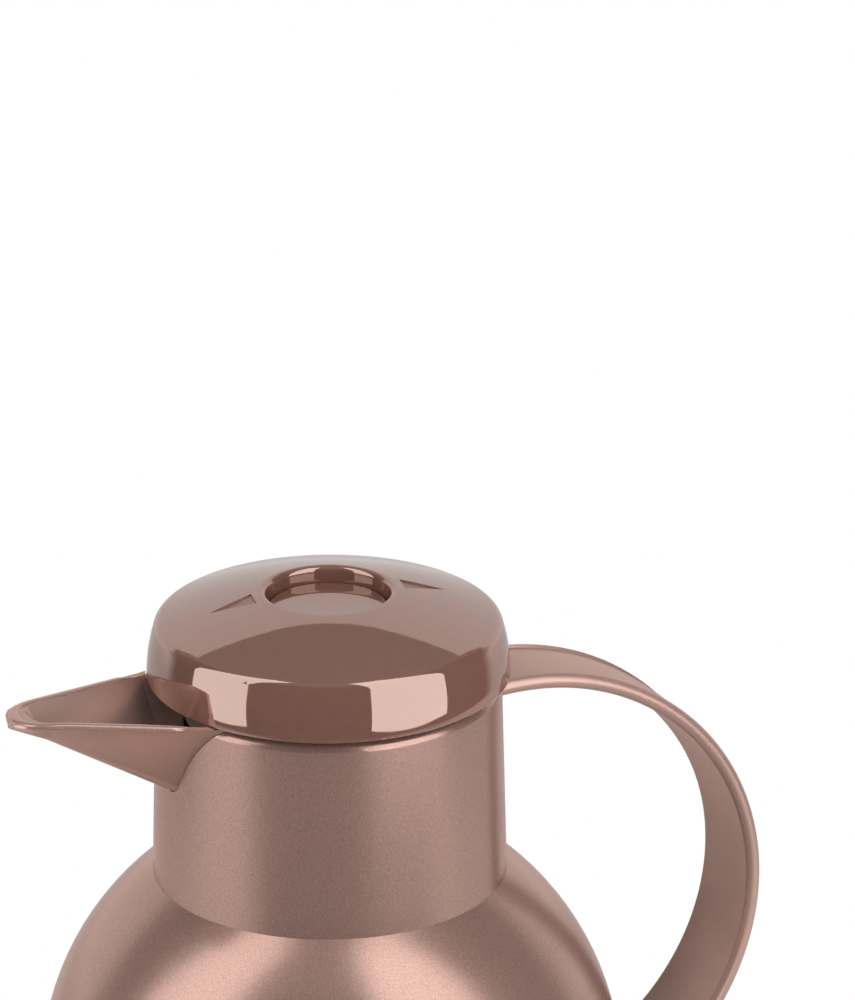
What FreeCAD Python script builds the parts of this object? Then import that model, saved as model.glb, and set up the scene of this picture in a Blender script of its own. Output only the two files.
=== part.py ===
"""Thermal carafe with a screw-in press-button closure, as separate pieces.

Millimetres. +Z is up and the origin is the centre of the face that the jug stands on.
The spout points along -X and the handle along +X.
"""
import FreeCAD, Part
import math
import os
import types

import Sketcher
from FreeCAD import Placement, Rotation, Vector

# Driving dimensions, in millimetres and degrees
SIZES = {
    # jacket
    "belly_radius": 69.0,
    "belly_height": 97.0,
    "belly_taper": 13.0,
    "neck_root_radius": 41.4,
    "neck_top_radius": 40.1,
    "neck_top_height": 199.6,
    "shell_wall": 2.4,
    "neck_edge_round": 2.0,
    # base
    "base_land": 3.0,
    "base_land_height": 11.0,
    "base_flange": 1.6,
    "base_flange_inset": 1.0,
    "base_plate": 7.0,
    "base_skirt_wall": 2.0,
    "base_skirt_height": 14.0,
    "grip_bar_width": 13.0,
    "grip_margin": 11.0,
    "grip_depth": 4.5,
    "pad_fence_wall": 2.0,
    "pad_fence_height": 4.0,
    # flask and its seats
    "flask_side_gap": 1.4,
    "flask_lift": 7.0,
    "flask_dome_radius": 75.0,
    "flask_corner_radius": 14.0,
    "flask_shoulder_drop": 11.0,
    "flask_neck_length": 46.5,
    "flask_shoulder_radius": 20.0,
    "flask_throat_radius": 8.0,
    "flask_neck_radius": 30.5,
    "flask_lip_drop": 25.1,
    "flask_lip_round": 1.2,
    "glass_wall": 1.5,
    "vacuum_gap": 3.4,
    "vacuum_neck_gap": 1.4,
    "vacuum_top_drop": 4.0,
    "tip_radius": 3.0,
    "tip_length": 4.5,
    "pad_bore_radius": 9.0,
    "pad_radius": 26.0,
    "gasket_thickness": 1.7,
    "gasket_inset": 0.4,
    # collar and spout
    "collar_radius": 37.3,
    "collar_bore_radius": 34.0,
    "collar_hole_radius": 27.0,
    "collar_floor": 3.8,
    "collar_flange_radius": 38.9,
    "collar_flange_thickness": 0.9,
    "beak_inner_station": 24.0,
    "beak_root_station": 40.0,
    "beak_nose_station": 71.0,
    "beak_reach": 80.0,
    "beak_inner_half_width": 23.0,
    "beak_root_half_width": 18.6,
    "beak_nose_half_width": 8.2,
    "beak_root_rise": 1.4,
    "beak_tip_rise": 4.4,
    "beak_root_depth": 22.2,
    "beak_nose_depth": 6.3,
    "beak_tip_depth": 2.0,
    "beak_rim_width": 1.8,
    "beak_floor": 2.4,
    "beak_lip_length": 5.0,
    # handle
    "handle_root_width": 23.0,
    "handle_waist_width": 21.7,
    "handle_foot_width": 25.5,
    "handle_thickness": 3.6,
    "handle_recess": 0.7,
    "handle_crown": 0.5,
    "handle_hollow": 0.5,
    "handle_bead_radius": 1.9,
    "handle_bead_blend": 0.6,
    "handle_root_drop": 4.74,
    "handle_crest_station": 43.5,
    "handle_start_angle": -6.0,
    "handle_upper_radius": 68.07,
    "handle_upper_angle": 58.1,
    "handle_lower_radius": 58.85,
    "handle_end_angle": 168.0,
    "tenon_width": 13.0,
    "tenon_thickness": 2.0,
    "foot_flare_length": 11.0,
    "foot_flare_radius": 40.0,
    "foot_half_height": 7.0,
    "boss_radius": 3.6,
    "boss_length": 3.5,
    "screw_radius": 1.6,
    "screw_head_radius": 4.2,
    "screw_head_height": 2.4,
    "screw_length": 8.5,
    # lid
    "lid_radius": 42.06,
    "lid_gap": 1.24,
    "lid_band_height": 12.0,
    "lid_lean_angle": 17.0,
    "lid_edge_radius": 3.0,
    "lid_edge_slope": 21.0,
    "lid_rim_slope": 11.0,
    "lid_wall": 2.2,
    "lid_rim_round": 0.6,
    "recess_radius": 14.2,
    "recess_round": 1.4,
    "recess_tube_wall": 1.8,
    "recess_tube_depth": 17.0,
    "lid_rib_radius": 37.0,
    "lid_rib_wall": 1.8,
    "mark_inner_radius": 17.5,
    "mark_length": 10.5,
    "mark_half_width": 2.9,
    "mark_depth": 0.5,
    "closure_set_angle": -11.5,
    # stopper
    "stopper_wall": 2.2,
    "stopper_floor": 2.4,
    "stopper_ceiling": 2.2,
    "wet_height": 8.6,
    "nose_radius": 22.5,
    "nose_drop": 7.5,
    "seal_thickness": 2.0,
    "seal_radius": 30.5,
    "outlet_width": 20.0,
    "outlet_height": 6.4,
    "flange_thickness": 2.0,
    "flange_lift": 0.5,
    # plunger and latch
    "button_drop": 3.6,
    "button_dish": 0.5,
    "button_round": 1.0,
    "button_web": 2.0,
    "button_wall": 1.4,
    "button_skirt": 11.5,
    "button_tube_radius": 8.8,
    "stem_radius": 3.8,
    "stem_head_radius": 7.0,
    "stem_head": 1.8,
    "disc_thickness": 2.6,
    "disc_inset": 0.4,
    "valve_seal_thickness": 1.4,
    "valve_seal_width": 5.0,
    "press_travel": 5.0,
    "wiper_thickness": 1.2,
    "wiper_radius": 7.0,
    "clip_thickness": 1.0,
    "clip_radius": 7.2,
    "clip_opening": 5.0,
    "rotor_height": 4.6,
    "rotor_radius": 8.8,
    "tooth_height": 1.2,
    "sleeve_bore_radius": 9.2,
    "sleeve_wall": 1.7,
    "sleeve_flange_radius": 16.0,
    "sleeve_flange": 1.5,
    "sleeve_height": 15.0,
    "sleeve_slot_width": 2.2,
    "sleeve_slot_depth": 0.7,
    "spring_radius": 11.9,
    "spring_wire": 0.9,
    # fits
    "running_gap": 0.3,
    "part_gap": 0.2,
    "seat_gap": 0.1,
    "overrun": 4.0,
}

MARK_COUNT = 2
TOOTH_COUNT = 8
SLOT_COUNT = 4
SPRING_TURNS = 5
ARCS_PER_TURN = 4
SECTIONS_PER_ARC = 4

# Beak cross-section, as shares of its half width and depth
KEEL_WIDTH_SHARE = 0.26
KEEL_HEIGHT_SHARE = 0.17
FLANK_RADIUS_SHARE = 1.65
# Places of the sections round the beak's tip, between its nose station and its reach
TIP_STATION_SHARES = (0.45, 0.75, 0.93, 0.99)

doc = FreeCAD.newDocument("thermal_carafe")
sheet = doc.addObject("Spreadsheet::Sheet", "Sizes")


class Size:
    """A number together with the expression over the sheet's cells that gives it."""

    def __init__(self, value, text):
        self.value = float(value)
        self.text = text

    def __add__(self, other):
        other = as_size(other)
        return Size(self.value + other.value, f"({self.text} + {other.text})")

    def __radd__(self, other):
        return as_size(other) + self

    def __sub__(self, other):
        other = as_size(other)
        return Size(self.value - other.value, f"({self.text} - {other.text})")

    def __rsub__(self, other):
        return as_size(other) - self

    def __mul__(self, other):
        other = as_size(other)
        return Size(self.value * other.value, f"({self.text} * {other.text})")

    def __rmul__(self, other):
        return as_size(other) * self

    def __truediv__(self, other):
        other = as_size(other)
        return Size(self.value / other.value, f"({self.text} / {other.text})")

    def __neg__(self):
        return Size(-self.value, f"(-{self.text})")


def as_size(number):
    return number if isinstance(number, Size) else Size(number, repr(number))


def root(size):
    return Size(math.sqrt(size.value), f"sqrt({size.text})")


def sine(angle):
    return Size(math.sin(math.radians(angle.value)), f"sin({angle.text})")


def cosine(angle):
    return Size(math.cos(math.radians(angle.value)), f"cos({angle.text})")


def lesser(first, second):
    return Size(min(first.value, second.value), f"min({first.text}; {second.text})")


def leg(hypotenuse, other_leg):
    return root(hypotenuse * hypotenuse - other_leg * other_leg)


def fill_sheet():
    """Write every driving dimension to its own named cell."""
    named = types.SimpleNamespace()
    for row, (name, value) in enumerate(SIZES.items(), start=1):
        sheet.set(f"A{row}", name)
        sheet.set(f"B{row}", str(value))
        sheet.setAlias(f"B{row}", name)
        setattr(named, name, Size(value, f"Sizes.{name}"))
    doc.recompute()
    return named


s = fill_sheet()

# Heights and radii that several pieces share
handle_root = s.neck_top_height - s.handle_root_drop
beak_root_rim = s.neck_top_height + s.beak_root_rise
beak_tip_rim = s.neck_top_height + s.beak_tip_rise
beak_root_keel = beak_root_rim - s.beak_root_depth
beak_nose_keel = beak_tip_rim - s.beak_nose_depth
beak_tip_keel = beak_tip_rim - s.beak_tip_depth
foot_radius = s.belly_radius - s.belly_taper
foot_sweep_radius = (s.belly_height * s.belly_height + s.belly_taper * s.belly_taper) / (2 * s.belly_taper)
crease_height = s.belly_height + leg(s.belly_radius, s.neck_root_radius)
base_bore_radius = foot_radius - s.base_land
flask_radius = base_bore_radius - s.flask_side_gap
flask_bottom = s.base_plate + s.flask_lift
flask_dome_centre = flask_bottom + s.flask_dome_radius
flask_lip = s.neck_top_height - s.flask_lip_drop
flask_room = s.belly_height + leg(s.belly_radius - s.shell_wall, flask_radius)
flask_side_height = lesser(flask_room - s.flask_shoulder_drop, flask_lip - s.flask_neck_length)
collar_floor_bottom = flask_lip + s.gasket_thickness
collar_floor_top = collar_floor_bottom + s.collar_floor
collar_top = s.neck_top_height + s.collar_flange_thickness
lid_bottom = s.neck_top_height + s.lid_gap
stopper_radius = s.collar_bore_radius - s.running_gap
stopper_floor_bottom = collar_floor_top + s.seal_thickness
stopper_floor_top = stopper_floor_bottom + s.stopper_floor
ceiling_bottom = stopper_floor_top + s.wet_height
ceiling_top = ceiling_bottom + s.stopper_ceiling
flange_bottom = lid_bottom + s.flange_lift
flange_top = flange_bottom + s.flange_thickness
flange_radius = s.lid_radius - s.lid_wall - s.running_gap
nose_bottom = collar_floor_top - s.nose_drop
nose_bore_radius = s.nose_radius - s.stopper_wall
disc_top = nose_bottom - s.valve_seal_thickness
disc_bottom = disc_top - s.disc_thickness

# Lid outline: a band that leans in, a round edge, a shallow dome and a round rim, each tangent to the next
band_radius = s.lid_band_height / sine(s.lid_lean_angle)
band_top_radius = s.lid_radius - band_radius * (1 - cosine(s.lid_lean_angle))
edge_centre_radius = band_top_radius - s.lid_edge_radius * cosine(s.lid_lean_angle)
edge_centre_height = lid_bottom + s.lid_band_height - s.lid_edge_radius * sine(s.lid_lean_angle)
rim_centre_radius = s.recess_radius + s.recess_round
dome_run = (edge_centre_radius + s.lid_edge_radius * sine(s.lid_edge_slope)
            - rim_centre_radius - s.recess_round * sine(s.lid_rim_slope))
dome_radius = dome_run / (sine(s.lid_edge_slope) - sine(s.lid_rim_slope))
dome_centre_radius = edge_centre_radius - (dome_radius - s.lid_edge_radius) * sine(s.lid_edge_slope)
dome_centre_height = edge_centre_height - (dome_radius - s.lid_edge_radius) * cosine(s.lid_edge_slope)
rim_centre_height = dome_centre_height + (dome_radius - s.recess_round) * cosine(s.lid_rim_slope)
rim_height = rim_centre_height + s.recess_round

# Plunger heights, from the button's face down
button_top = rim_height - s.button_drop
button_web_bottom = button_top - s.button_web
button_radius = s.recess_radius - s.running_gap
button_skirt_bottom = button_top - s.button_skirt
wiper_top = ceiling_top + s.wiper_thickness
clip_bottom = wiper_top + s.press_travel + s.running_gap
clip_top = clip_bottom + s.clip_thickness
rotor_bottom = clip_top + s.running_gap
rotor_top = rotor_bottom + s.rotor_height
button_tube_bottom = rotor_top + s.running_gap
sleeve_flange_top = ceiling_top + s.sleeve_flange

# Handle path, along the outer face of the strap
upper_centre = (s.handle_crest_station, handle_root - s.handle_upper_radius)
radius_change = s.handle_upper_radius - s.handle_lower_radius
lower_centre = (upper_centre[0] + radius_change * sine(s.handle_upper_angle),
                upper_centre[1] + radius_change * cosine(s.handle_upper_angle))
boss_height = lower_centre[1] - leg(s.handle_lower_radius - s.handle_thickness / 2,
                                    s.belly_radius - lower_centre[0])
boss_wall_radius = (s.belly_radius - foot_sweep_radius
                    + leg(foot_sweep_radius, s.belly_height - boss_height) - s.shell_wall)


def new_body(label):
    body = doc.addObject("PartDesign::Body", label)
    body.Label = label
    return body


def origin_plane(body, role):
    return next(item for item in body.Origin.OriginFeatures if item.Role == role)


def new_sketch(body, name, plane, offset=None):
    """Sketch on one of the body's own origin planes, moved along that plane's normal."""
    sketch = body.newObject("Sketcher::SketchObject", name)
    sketch.AttachmentSupport = [(origin_plane(body, plane), "")]
    sketch.MapMode = "FlatFace"
    if offset is not None:
        sketch.setExpression("AttachmentOffset.Base.z", offset.text)
    return sketch


def corner(x, y, radius=None, bend=1):
    """Corner of an outline. A radius makes an arc to the next corner: bend 1 turns left, -1 right."""
    return types.SimpleNamespace(x=as_size(x), y=as_size(y), radius=radius, bend=bend)


def arc_between(start, end, radius, bend):
    chord = end - start
    half = chord.Length / 2
    rise = math.sqrt(max(radius * radius - half * half, 0.0))
    left = Vector(-chord.y, chord.x, 0).normalize()
    centre = (start + end) / 2 + left * rise * bend
    first, last = (start, end) if bend > 0 else (end, start)
    angle_first = math.atan2(first.y - centre.y, first.x - centre.x)
    angle_last = math.atan2(last.y - centre.y, last.x - centre.x)
    if angle_last <= angle_first:
        angle_last += 2 * math.pi
    circle = Part.Circle(centre, Vector(0, 0, 1), radius)
    return Part.ArcOfCircle(circle, angle_first, angle_last)


def draw(sketch, corners, closed=True):
    """Draw an outline whose corners and radii are bound to the sheet."""
    base = sketch.GeometryCount
    points = [Vector(c.x.value, c.y.value, 0) for c in corners]
    count = len(corners) if closed else len(corners) - 1
    geometry = []
    for i in range(count):
        start, end = points[i], points[(i + 1) % len(points)]
        if corners[i].radius is None:
            geometry.append(Part.LineSegment(start, end))
        else:
            geometry.append(arc_between(start, end, corners[i].radius.value, corners[i].bend))
    sketch.addGeometry(geometry, False)

    def ends(i):
        backwards = corners[i].radius is not None and corners[i].bend < 0
        return (2, 1) if backwards else (1, 2)

    rules = []
    bindings = []
    for i in range(count):
        start_end, finish_end = ends(i)
        if closed or i + 1 < count:
            after = (i + 1) % count
            rules.append(Sketcher.Constraint("Coincident", base + i, finish_end,
                                             base + after, ends(after)[0]))
        place_corner(rules, bindings, corners[i], base + i, start_end)
        if corners[i].radius is not None:
            bindings.append((len(rules), corners[i].radius.text))
            rules.append(Sketcher.Constraint("Radius", base + i, corners[i].radius.value))
    if not closed:
        place_corner(rules, bindings, corners[-1], base + count - 1, ends(count - 1)[1])
    first_rule = sketch.ConstraintCount
    sketch.addConstraint(rules)
    for index, text in bindings:
        sketch.setExpression(f"Constraints[{first_rule + index}]", text)


def place_corner(rules, bindings, spot, geometry, end):
    for kind, size, axis in (("DistanceX", spot.x, -2), ("DistanceY", spot.y, -1)):
        if size.text in ("0", "0.0"):
            rules.append(Sketcher.Constraint("PointOnObject", geometry, end, axis))
            continue
        bindings.append((len(rules), size.text))
        rules.append(Sketcher.Constraint(kind, -1, 1, geometry, end, size.value))


def draw_circle(sketch, x, y, radius):
    x, y = as_size(x), as_size(y)
    circle = Part.Circle(Vector(x.value, y.value, 0), Vector(0, 0, 1), radius.value)
    index = sketch.addGeometry(circle, False)
    rules = []
    bindings = []
    place_corner(rules, bindings, types.SimpleNamespace(x=x, y=y), index, 3)
    bindings.append((len(rules), radius.text))
    rules.append(Sketcher.Constraint("Radius", index, radius.value))
    first_rule = sketch.ConstraintCount
    sketch.addConstraint(rules)
    for rule, text in bindings:
        sketch.setExpression(f"Constraints[{first_rule + rule}]", text)


def turn(body, name, corners, kind="PartDesign::Revolution"):
    """Turn an outline of radii and heights about the body's Z axis."""
    sketch = new_sketch(body, name + "_outline", "XZ_Plane")
    draw(sketch, corners)
    feature = body.newObject(kind, name)
    feature.Profile = sketch
    feature.ReferenceAxis = (sketch, ["V_Axis"])
    feature.Angle = 360.0
    return feature


def groove(body, name, corners):
    return turn(body, name, corners, "PartDesign::Groove")


def pocket(body, name, sketch, length, towards_normal):
    feature = body.newObject("PartDesign::Pocket", name)
    feature.Profile = sketch
    feature.setExpression("Length", length.text)
    feature.Reversed = towards_normal
    return feature


def pad(body, name, sketch, length):
    feature = body.newObject("PartDesign::Pad", name)
    feature.Profile = sketch
    feature.setExpression("Length", length.text)
    return feature


def repeat(body, name, feature, count):
    """Repeat a feature round the body's Z axis."""
    pattern = body.newObject("PartDesign::PolarPattern", name)
    pattern.Originals = [feature]
    pattern.Axis = (next(i for i in body.Origin.OriginFeatures if i.Role == "Z_Axis"), [""])
    pattern.Angle = 360.0
    pattern.Occurrences = count
    body.Tip = pattern
    return pattern


def rectangle(x_low, x_high, y_low, y_high):
    return [corner(x_low, y_low), corner(x_high, y_low), corner(x_high, y_high), corner(x_low, y_high)]


def jacket_outside(grow):
    """Outer outline of the jacket from the foot up to the neck's top, moved out by grow."""
    return [
        corner(foot_radius + grow, s.base_flange, foot_sweep_radius + grow),
        corner(s.belly_radius + grow, s.belly_height, s.belly_radius + grow),
        corner(s.neck_root_radius + grow,
               s.belly_height + leg(s.belly_radius + grow, s.neck_root_radius + grow)),
    ]


def beak_stations():
    """Places along the spout: reach, half width, rim height and keel height."""
    stations = [
        (s.beak_inner_station, s.beak_inner_half_width, beak_root_rim, beak_root_keel),
        (s.beak_root_station, s.beak_root_half_width, beak_root_rim, beak_root_keel),
        (s.beak_nose_station, s.beak_nose_half_width, beak_tip_rim, beak_nose_keel),
    ]
    nose_length = s.beak_reach - s.beak_nose_station
    keel_rise = beak_tip_keel - beak_nose_keel
    for share in TIP_STATION_SHARES:
        stations.append((
            s.beak_nose_station + nose_length * share,
            s.beak_nose_half_width * math.sqrt(1 - share * share),
            beak_tip_rim,
            beak_nose_keel + keel_rise * share,
        ))
    return stations


def beak_section(body, name, reach, half_width, rim, keel, rise=None):
    """Cross-section of the beak: round keel, flanks that flare to the rim, open or closed above it."""
    depth = rim - keel
    keel_half = half_width * KEEL_WIDTH_SHARE
    keel_rise = depth * KEEL_HEIGHT_SHARE
    keel_radius = (keel_half * keel_half + keel_rise * keel_rise) / (2 * keel_rise)
    flank_radius = (depth + half_width) * FLANK_RADIUS_SHARE
    keel_top = keel + keel_rise
    corners = [
        corner(half_width, rim),
        corner(-half_width, rim, flank_radius, -1),
        corner(-keel_half, keel_top, keel_radius, 1),
        corner(keel_half, keel_top, flank_radius, -1),
    ]
    if rise is not None:
        corners.insert(1, corner(half_width, rim + rise))
        corners.insert(2, corner(-half_width, rim + rise))
    sketch = new_sketch(body, name, "YZ_Plane", -reach)
    draw(sketch, corners)
    return sketch


def loft(body, name, sections, kind, ruled=True):
    feature = body.newObject(kind, name)
    feature.Profile = sections[0]
    feature.Sections = sections[1:]
    feature.Ruled = ruled
    return feature


def make_belly_shell():
    body = new_body("belly_shell")
    inner_belly = s.belly_radius - s.shell_wall
    inner_neck = s.neck_root_radius - s.shell_wall
    inner_sweep = foot_sweep_radius - s.shell_wall
    land_top = s.base_flange + s.base_land_height
    land_join = land_top + s.base_land
    sweep_centre = s.belly_radius - foot_sweep_radius
    join_radius = sweep_centre + leg(inner_sweep, s.belly_height - land_join)
    turn(body, "belly", jacket_outside(as_size(0)) + [
        corner(inner_neck, crease_height),
        corner(inner_neck, s.belly_height + leg(inner_belly, inner_neck), inner_belly, -1),
        corner(inner_belly, s.belly_height, inner_sweep, -1),
        corner(join_radius, land_join),
        corner(base_bore_radius, land_top),
        corner(base_bore_radius, s.base_flange),
    ])
    hole = new_sketch(body, "boss_hole_outline", "YZ_Plane")
    draw_circle(hole, 0, boss_height, s.boss_radius + s.seat_gap)
    pocket(body, "boss_hole", hole, s.belly_radius + s.overrun, True)
    return body


def make_neck_sleeve():
    body = new_body("neck_sleeve")
    inner_top = s.neck_top_radius - s.shell_wall
    turn(body, "neck", [
        corner(s.neck_root_radius - s.shell_wall, crease_height),
        corner(s.neck_root_radius, crease_height),
        corner(s.neck_top_radius, s.neck_top_height - s.neck_edge_round, s.neck_edge_round),
        corner(s.neck_top_radius - s.neck_edge_round, s.neck_top_height),
        corner(inner_top, s.neck_top_height),
    ])
    sections = [
        beak_section(body, f"notch_{i}", reach, half_width + s.part_gap, rim, keel - s.part_gap, s.overrun)
        for i, (reach, half_width, rim, keel) in enumerate(beak_stations()[:3])
    ]
    loft(body, "spout_notch", sections, "PartDesign::SubtractiveLoft")
    slot = new_sketch(body, "tenon_slot_outline", "YZ_Plane")
    half = s.tenon_width / 2 + s.seat_gap
    tenon_middle = handle_root - s.handle_thickness / 2
    reach = s.tenon_thickness / 2 + s.seat_gap
    draw(slot, rectangle(-half, half, tenon_middle - reach, tenon_middle + reach))
    pocket(body, "tenon_slot", slot, s.neck_root_radius + s.overrun, True)
    return body


def make_base_cap():
    body = new_body("base_cap")
    plug_radius = base_bore_radius - s.part_gap
    skirt_bore = plug_radius - s.base_skirt_wall
    fence_bore = s.pad_radius + s.part_gap
    fence_radius = fence_bore + s.pad_fence_wall
    fence_top = s.base_plate + s.pad_fence_height
    flange = foot_radius - s.base_flange_inset
    turn(body, "cap", [
        corner(0, 0),
        corner(flange, 0),
        corner(flange, s.base_flange),
        corner(plug_radius, s.base_flange),
        corner(plug_radius, s.base_skirt_height),
        corner(skirt_bore, s.base_skirt_height),
        corner(skirt_bore, s.base_plate),
        corner(fence_radius, s.base_plate),
        corner(fence_radius, fence_top),
        corner(fence_bore, fence_top),
        corner(fence_bore, s.base_plate),
        corner(0, s.base_plate),
    ])
    grip = new_sketch(body, "grip_outline", "XY_Plane")
    grip_radius = foot_radius - s.grip_margin
    bar_half = s.grip_bar_width / 2
    chord = leg(grip_radius, bar_half)
    draw(grip, [corner(bar_half, chord), corner(bar_half, -chord, grip_radius, 1)])
    draw(grip, [corner(-bar_half, -chord), corner(-bar_half, chord, grip_radius, 1)])
    pocket(body, "grip_recesses", grip, s.grip_depth, True)
    return body


def dome_height(radius, grow):
    """Height of the flask's rounded bottom at a radius, moved out by grow."""
    return flask_dome_centre - leg(s.flask_dome_radius + grow, radius)


def make_flask_pad():
    body = new_body("flask_pad")
    turn(body, "pad", [
        corner(s.pad_bore_radius, s.base_plate),
        corner(s.pad_radius, s.base_plate),
        corner(s.pad_radius, dome_height(s.pad_radius, s.seat_gap), s.flask_dome_radius + s.seat_gap, -1),
        corner(s.pad_bore_radius, dome_height(s.pad_bore_radius, s.seat_gap)),
    ])
    return body


def flask_outline(inset, neck_radius, top):
    """Bottom, side, shoulder and neck of one glass surface, set in from the flask's outside."""
    dome = s.flask_dome_radius - inset
    corner_radius = s.flask_corner_radius - inset
    corner_x = flask_radius - s.flask_corner_radius
    corner_fall = leg(s.flask_dome_radius - s.flask_corner_radius, corner_x)
    corner_z = flask_dome_centre - corner_fall
    tangent_share = dome / (s.flask_dome_radius - s.flask_corner_radius)
    shoulder = s.flask_shoulder_radius - inset
    throat = s.flask_throat_radius + inset
    shoulder_x = flask_radius - s.flask_shoulder_radius
    throat_x = neck_radius + throat
    throat_rise = leg(shoulder + throat, throat_x - shoulder_x)
    blend_share = shoulder / (shoulder + throat)
    blend_x = shoulder_x + (throat_x - shoulder_x) * blend_share
    blend_z = flask_side_height + throat_rise * blend_share
    return [
        corner(0, flask_bottom + inset, dome, 1),
        corner(corner_x * tangent_share, flask_dome_centre - corner_fall * tangent_share, corner_radius, 1),
        corner(flask_radius - inset, corner_z),
        corner(flask_radius - inset, flask_side_height, shoulder, 1),
        corner(blend_x, blend_z, throat, -1),
        corner(neck_radius, flask_side_height + throat_rise),
        corner(neck_radius, top),
    ]


def make_inner_bottle():
    """Bottle that holds the drink, with a turned-out lip on top of the outer bottle's neck."""
    body = new_body("inner_bottle")
    inset = 2 * s.glass_wall + s.vacuum_gap
    mouth_radius = s.flask_neck_radius - 2 * s.glass_wall - s.vacuum_neck_gap
    lip = flask_lip - s.flask_lip_round
    seam = flask_lip - s.vacuum_top_drop
    wall = flask_outline(inset - s.glass_wall, mouth_radius + s.glass_wall, seam)
    turn(body, "bottle", wall + [
        corner(s.flask_neck_radius, seam),
        corner(s.flask_neck_radius, lip, s.flask_lip_round),
        corner(s.flask_neck_radius - s.flask_lip_round, flask_lip),
        corner(0, flask_lip),
    ])
    inside = flask_outline(inset, mouth_radius, lip)
    inside[-1].radius = s.flask_lip_round
    inside[-1].bend = -1
    groove(body, "inside", inside + [
        corner(mouth_radius + s.flask_lip_round, flask_lip),
        corner(mouth_radius + s.flask_lip_round, flask_lip + s.overrun),
        corner(0, flask_lip + s.overrun),
    ])
    return body


def make_outer_bottle():
    """Bottle round the evacuated space, closed below by its sealed tip."""
    body = new_body("outer_bottle")
    seam = flask_lip - s.vacuum_top_drop
    turn(body, "bottle", flask_outline(as_size(0), s.flask_neck_radius, seam) + [corner(0, seam)])
    tip_join = flask_bottom + s.glass_wall / 2
    tip_end = flask_bottom - s.tip_length
    turn(body, "sealed_tip", [
        corner(0, tip_end, s.tip_radius, 1),
        corner(s.tip_radius, tip_end + s.tip_radius),
        corner(s.tip_radius, tip_join),
        corner(0, tip_join),
    ])
    space = flask_outline(s.glass_wall, s.flask_neck_radius - s.glass_wall, seam + s.overrun)
    groove(body, "inside", space + [corner(0, seam + s.overrun)])
    return body


def make_neck_gasket():
    body = new_body("neck_gasket")
    mouth_radius = s.flask_neck_radius - 2 * s.glass_wall - s.vacuum_neck_gap
    bore = mouth_radius + s.gasket_inset
    outer = s.flask_neck_radius + s.gasket_inset
    turn(body, "gasket", rectangle(bore, outer, flask_lip, collar_floor_bottom))
    return body


def make_spout_collar():
    body = new_body("spout_collar")
    turn(body, "ring", [
        corner(s.collar_hole_radius, collar_floor_bottom),
        corner(s.collar_radius, collar_floor_bottom),
        corner(s.collar_radius, s.neck_top_height),
        corner(s.collar_flange_radius, s.neck_top_height),
        corner(s.collar_flange_radius, collar_top),
        corner(s.collar_hole_radius, collar_top),
    ])
    stations = beak_stations()
    sections = [
        beak_section(body, f"beak_{i}", *station)
        for i, station in enumerate(stations)
    ]
    loft(body, "beak", sections, "PartDesign::AdditiveLoft")
    trough_end = s.beak_reach - s.beak_lip_length
    nose_length = trough_end - s.beak_nose_station
    inner_width = s.beak_nose_half_width - s.beak_rim_width
    trough = [
        (reach, half_width - s.beak_rim_width, rim, keel + s.beak_floor)
        for reach, half_width, rim, keel in stations[:3]
    ]
    for share in TIP_STATION_SHARES:
        trough.append((
            s.beak_nose_station + nose_length * share,
            inner_width * math.sqrt(1 - share * share),
            beak_tip_rim,
            beak_nose_keel + s.beak_floor + (beak_tip_keel - beak_nose_keel) * share / 2,
        ))
    sections = [
        beak_section(body, f"trough_{i}", reach, half_width, rim, keel, s.overrun)
        for i, (reach, half_width, rim, keel) in enumerate(trough)
    ]
    loft(body, "trough", sections, "PartDesign::SubtractiveLoft")
    groove(body, "bore", rectangle(as_size(0), s.collar_bore_radius, collar_floor_top,
                                   collar_top + s.overrun))
    groove(body, "hole", rectangle(as_size(0), s.collar_hole_radius, collar_floor_bottom - s.overrun,
                                   collar_floor_top + s.seat_gap))
    lid_room = s.lid_radius + s.running_gap
    groove(body, "lid_room", rectangle(as_size(0), lid_room, collar_top, beak_tip_rim + s.overrun))
    return body


def bow_radius(half_chord, rise):
    return (half_chord * half_chord + rise * rise) / (2 * rise)


def strap_places():
    """Centre, radius, angle and width at each cross-section along the two arcs of the strap."""
    arcs = (
        (upper_centre, s.handle_upper_radius, s.handle_start_angle, s.handle_upper_angle,
         s.handle_root_width, s.handle_waist_width),
        (lower_centre, s.handle_lower_radius, s.handle_upper_angle, s.handle_end_angle,
         s.handle_waist_width, s.handle_foot_width),
    )
    places = []
    for centre, radius, first_angle, last_angle, first_width, last_width in arcs:
        for step in range(SECTIONS_PER_ARC):
            share = step / SECTIONS_PER_ARC
            angle = first_angle + (last_angle - first_angle) * share
            width = first_width + (last_width - first_width) * share
            places.append((centre, radius, angle, width))
    places.append((lower_centre, s.handle_lower_radius, s.handle_end_angle, s.handle_foot_width))
    return places


def strap_section(body, name, centre, radius, angle, width):
    """Cross-section of the strap, square to its path: crowned outside, hollow inside, beads at the edges."""
    along = centre[0] + radius * sine(angle)
    height = centre[1] + radius * cosine(angle)
    sketch = new_sketch(body, name, "YZ_Plane")
    tilt = Rotation(Vector(1, 0, 0), angle.value)
    sketch.AttachmentOffset = Placement(Vector(0, height.value, along.value), tilt)
    sketch.setExpression("AttachmentOffset.Base.y", height.text)
    sketch.setExpression("AttachmentOffset.Base.z", along.text)
    sketch.setExpression("AttachmentOffset.Rotation.Angle", angle.text)
    bead = s.handle_bead_radius
    edge = width / 2 - bead + leg(bead, s.handle_thickness / 2)
    web = edge - s.handle_bead_blend
    draw(sketch, [
        corner(web, -s.handle_recess, bow_radius(web, s.handle_crown), 1),
        corner(-web, -s.handle_recess),
        corner(-edge, 0, bead, 1),
        corner(-edge, -s.handle_thickness, bow_radius(edge, s.handle_hollow), -1),
        corner(edge, -s.handle_thickness, bead, 1),
        corner(edge, 0),
    ])
    return sketch


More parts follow.
